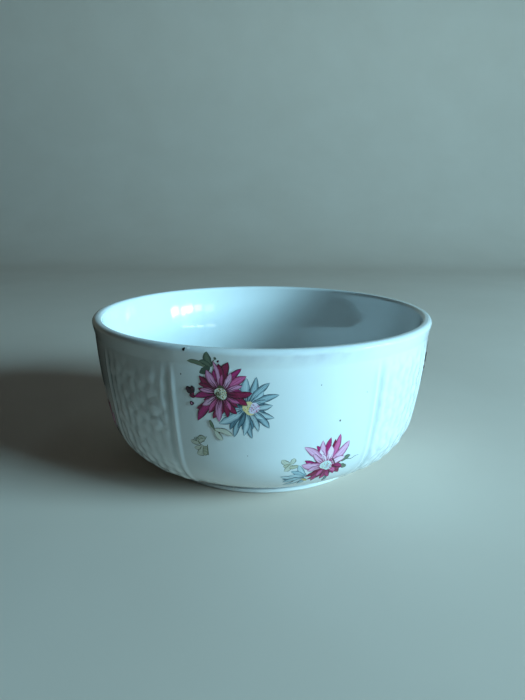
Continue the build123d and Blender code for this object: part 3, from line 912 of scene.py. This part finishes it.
def small_bouquet(sheet):
    # beige leaves at the left and green leaves at the right
    sheet.petal((8.8, 35.0), (5.9, 37.8), 2.8, PALE, OLIVE, 0.10, 0.24, 0.7, 0.2)
    sheet.petal((8.8, 35.4), (9.7, 38.4), 2.4, PALE, OLIVE, -0.10, 0.24, 0.7, 0.2)
    sheet.petal((8.9, 35.0), (6.4, 34.2), 2.2, STRAW, OLIVE, 0.08, 0.24, 0.7, 0.2)
    sheet.petal((8.9, 35.0), (6.8, 31.2), 2.8, PALE, OLIVE, 0.10, 0.24, 0.7, 0.2)
    sheet.petal((11.2, 33.8), (8.2, 33.0), 2.2, STRAW, OLIVE, 0.0, 0.30, 0.7, 0.2)
    sheet.petal((25.4, 33.0), (28.4, 35.4), 2.6, FERN, LEAF, 0.10, 0.36, 0.8, 0.3)
    sheet.petal((25.6, 31.2), (28.2, 28.4), 2.6, FERN, LEAF, -0.10, 0.36, 0.8, 0.3)
    sheet.stroke([(27.2, 33.6), (29.0, 33.0), (30.4, 34.2), (31.8, 34.4)], 0.45, FERN, 0.7)
    # part of a blue flower
    heart = (14.4, 25.4)
    petals = [
        (11.2, 34.2, 3.0, MIST, SLATE), (9.0, 30.8, 2.6, SKY, SLATE), (5.8, 27.4, 3.0, MIST, TEAL),
        (8.4, 27.6, 2.2, MIST, SLATE), (6.6, 24.8, 2.2, SLATE, TEAL), (6.9, 22.2, 3.0, SKY, TEAL),
        (7.2, 18.8, 3.0, SKY, TEAL), (9.8, 19.8, 2.6, MIST, TEAL), (12.2, 18.8, 2.4, SKY, TEAL)]
    sheet.ring(heart, 1.0, petals, 0.06, 0.30, 0.85, 0.8)
    sheet.petal((13.0, 24.0), (15.0, 21.6), 1.9, YELLOW, STRAW, 0.1, 0.3, 0.4, 0.2)
    sheet.petal((21.6, 24.0), (21.9, 17.2), 2.0, SLATE, TEAL, 0.05, 0.5, 0.8)
    # the pink flower
    heart = (20.2, 32.2)
    sheet.spot(heart, 5.0, MAGENTA, DEEP, 0.95)
    for k in range(11):
        angle = 0.9 * pi + 1.2 * pi * (k + 0.5) / 11
        tip = off(heart, sheet.rng.uniform(7.6, 9.8), angle)
        inner = MAGENTA if k % 2 else CRIMSON
        sheet.petal(toward(heart, tip, 2.0), tip, 2.2, inner, DEEP, 0.05, 0.34, 0.9, 0.9)
    back = [
        (20.5, 47.0, 3.0, MAGENTA, CRIMSON), (16.2, 43.6, 2.8, MAGENTA, CRIMSON),
        (12.9, 36.6, 2.6, MAGENTA, DEEP), (25.9, 39.2, 3.0, ROSE, MAGENTA),
        (25.9, 25.2, 3.2, CRIMSON, DEEP), (26.5, 29.2, 2.8, MAGENTA, CRIMSON),
        (19.8, 21.6, 3.0, MAGENTA, DEEP), (16.8, 20.8, 3.0, MAGENTA, DEEP),
        (14.0, 25.9, 3.0, CRIMSON, DEEP), (22.8, 22.6, 2.8, MAGENTA, DEEP),
        (15.2, 22.8, 2.6, MAGENTA, DEEP), (22.0, 45.8, 2.4, CRIMSON, DEEP)]
    sheet.ring(heart, 1.6, back, 0.07, 0.36, 0.85, 0.9)
    front = [
        (23.5, 48.0, 3.2, ROSE, CRIMSON), (18.0, 46.0, 3.0, BLUSH, MAGENTA),
        (20.9, 42.8, 3.7, PETAL, ROSE), (17.5, 41.6, 2.9, PETAL, MAGENTA),
        (12.5, 43.6, 3.6, BLUSH, MAGENTA), (12.1, 34.2, 4.2, BLUSH, MAGENTA),
        (27.0, 43.6, 4.3, BLUSH, MAGENTA), (26.3, 35.2, 3.8, PETAL, MAGENTA),
        (14.2, 30.0, 3.2, BLUSH, CRIMSON), (24.0, 26.8, 2.8, ROSE, CRIMSON),
        (18.2, 38.9, 2.2, PETAL, MAGENTA), (15.4, 39.8, 2.6, BLUSH, CRIMSON),
        (18.0, 25.4, 2.6, ROSE, CRIMSON)]
    sheet.ring(heart, 1.8, front, -0.06, 0.30, 0.6, 0.8)
    sheet.streaks(heart, 2.6, 6.4, 26, CRIMSON)
    sheet.spot(heart, 3.0, MIST, CREAM)
    sheet.dots((19.8, 32.2), 2.0, 34, (YELLOW, STRAW, OLIVE))
    sheet.dots((21.2, 31.4), 1.6, 16, (MAGENTA, ROSE))
    sheet.stroke([(21.9, 35.8), (22.6, 34.0), (23.2, 32.2)], 0.6, DEEP, 0.5)
    sheet.stroke([(22.6, 31.2), (24.0, 29.8), (25.8, 29.2)], 0.7, DEEP, 0.5)


enamel = enamel_material()
bouquet_parts = (("large_bouquet", large_bouquet), ("leaf_sprig", leaf_sprig),
                 ("small_bouquet", small_bouquet))
for quarter, side in enumerate(("front", "right", "back", "left")):
    for name, drawing in bouquet_parts:
        # this one was laid a little further round, so that its petals show at the left edge
        slip = 3.0 if (name, side) == ("small_bouquet", "left") else 0.0
        sheet = Print(f"{name}_{side}", quarter, slip)
        drawing(sheet)
        sheet.finish(enamel, sheet.name)

# ---------------------- marks of age and firing
def marks(sheet):
    """Iron spots in the glaze, a small flat chip on the rim with painted shade and a painted glint,
    and a run of glaze on the foot ring.
    """
    for turn, climb, size in ((-22.1, 76.0, 0.32), (16.1, 72.3, 0.22), (22.7, 54.7, 0.42),
                              (31.0, 66.0, 0.2), (-4.0, 40.0, 0.2), (60.0, 60.0, 0.3),
                              (128.0, 35.0, 0.35), (215.0, 70.0, 0.3)):
        sheet.spot((turn, climb), size, SPECK)
    # the chip, flat: its dark broken body, and painted shade where a dent would be
    sheet.spot((-20.6, 87.2), 0.7, CHIP_DARK_AND_SHADE, CHIP_DARK_AND_SHADE, 1.0)
    # a painted glint on the chip's edge
    sheet.spot((-19.3, 87.9), 0.75, CHIP_PAINTED_GLINT, CHIP_PAINTED_GLINT, 0.8)
    sheet.petal((-13.4, -4.2), (-13.1, 0.8), 0.9, BISCUIT, BISCUIT, 0.0, 0.0, 0.0, 0.0)


sheet = Print("firing_marks", 0)
marks(sheet)
sheet.finish(enamel, cad_node=None)

# ---------------------- stage and lights
def stage_material(name, scale, detail, low, high, roughness):
    """Paper or felt: a colour with faint clouds in it."""
    material, tree, shader = new_material(name)
    tone = noise_at(tree, object_place(tree), scale, detail)
    fill(tree, shader, Base_Color=ramp(tree, tone, [(0.3, low), (0.7, high)]), Roughness=roughness)
    return material


def stage_floor():
    """A pale sweep: a flat floor that curves up into a backdrop. Lengths are metres."""
    front, bend, backdrop, half_width = -2.5, 0.6, 2.6, 3.0
    curve = [(0.9 + bend * sin(a), bend - bend * cos(a)) for a in np.linspace(0, pi / 2, 24)]
    line = [(front, 0.0)] + curve + [(0.9 + bend, backdrop)]
    points = [(x / MM, y / MM, z / MM) for y, z in line for x in (-half_width, half_width)]
    faces = [(2 * k, 2 * k + 1, 2 * k + 3, 2 * k + 2) for k in range(len(line) - 1)]
    floor = make_mesh("stage_floor", points, faces)
    dark, light = (0.70, 0.57, 0.48), (0.73, 0.60, 0.51)
    floor.data.materials.append(stage_material("stage_paper", 8.0, 3.0, dark, light, 0.8))


def stage_card():
    """A warm dark card bent round the bowl's left, out of view, that keeps that side in shade."""
    radius, low, high = 132, 14, 110
    line = [(radius * sin(a), -radius * cos(a)) for a in np.radians(np.arange(-122, -37, 4))]
    points = [(x, y, z) for z in (low, high) for x, y in line]
    card = make_mesh("stage_card", points, grid_faces(2, len(line), closed=False))
    dark, light = (0.085, 0.055, 0.038), (0.10, 0.066, 0.046)
    card.data.materials.append(stage_material("stage_card_felt", 40.0, 2.0, dark, light, 0.95))
    card.visible_camera = False
    card.visible_shadow = False


def area_light(name, place, aim, size, power, colour):
    data = bpy.data.lights.new(name, "AREA")
    data.shape = "RECTANGLE"
    data.size, data.size_y = size
    data.energy = power
    data.color = colour
    lamp = bpy.data.objects.new(name, data)
    lamp.location = place
    lamp.visible_camera = False
    lamp.rotation_euler = (Vector(aim) - Vector(place)).to_track_quat("-Z", "Y").to_euler()
    bpy.context.scene.collection.objects.link(lamp)
    return lamp


def around(turn, rise, distance):
    """A place that far from the bowl, at a turn and an angle above the floor."""
    a, e = radians(turn), radians(rise)
    return (distance * cos(e) * sin(a), -distance * cos(e) * cos(a), distance * sin(e) + 0.05)


def window_panes():
    """Panes low on the right, which glint on the inside of the far wall."""
    spot, distance, pane_height = (-0.046, 0.071, 0.066), 1.2, 0.065
    for k, (low, high, rise, glow) in enumerate(
            ((74, 81, 6.9, 42), (61, 72, 7.9, 40), (53, 59.5, 8.6, 20), (43, 51, 9.7, 8))):
        middle = radians((low + high) / 2)
        place = (spot[0] + distance * sin(middle), spot[1] - distance * cos(middle),
                 spot[2] + distance * tan(radians(rise)))
        size = (distance * radians(high - low), pane_height)
        area_light(f"pane_{k}", place, spot, size, glow * size[0] * size[1], (0.9, 0.97, 1.0))


def photographer(place, tilt_down, roll, lens):
    """The camera, at the photograph's viewing angle."""
    data = bpy.data.cameras.new("camera")
    data.lens = lens
    data.sensor_width = 36.0
    data.clip_start = 0.02
    camera = bpy.data.objects.new("camera", data)
    camera.location = place
    look = Euler((radians(90 - tilt_down), 0, 0)).to_matrix().to_4x4()
    turned = Matrix.Rotation(radians(roll), 4, "Z")
    camera.matrix_world = Matrix.Translation(camera.location) @ look @ turned
    bpy.context.scene.collection.objects.link(camera)
    bpy.context.scene.camera = camera


stage_floor()
stage_card()
bowl_middle = (0, 0, 0.04)
key_window = area_light("key_window", around(turn=66, rise=17.5, distance=1.6), bowl_middle,
                        size=(0.72, 0.60), power=51, colour=(0.39, 0.79, 1.0))
key_window.visible_glossy = False        # its glints come from the panes
area_light("top_soft", (0.1, 0.1, 1.9), bowl_middle, size=(1.8, 1.8), power=0.5,
           colour=(1.0, 0.95, 0.90))
window_panes()

world = bpy.data.worlds.new("studio")
world.use_nodes = True
sky = world.node_tree.nodes["Background"]
sky.inputs["Color"].default_value = (0.80, 0.86, 0.92, 1)
sky.inputs["Strength"].default_value = 0.015
bpy.context.scene.world = world
bpy.context.scene.view_settings.view_transform = "Standard"
photographer(place=(0.0003, -0.29565, 0.1347), tilt_down=14.81, roll=0.18, lens=28.0)
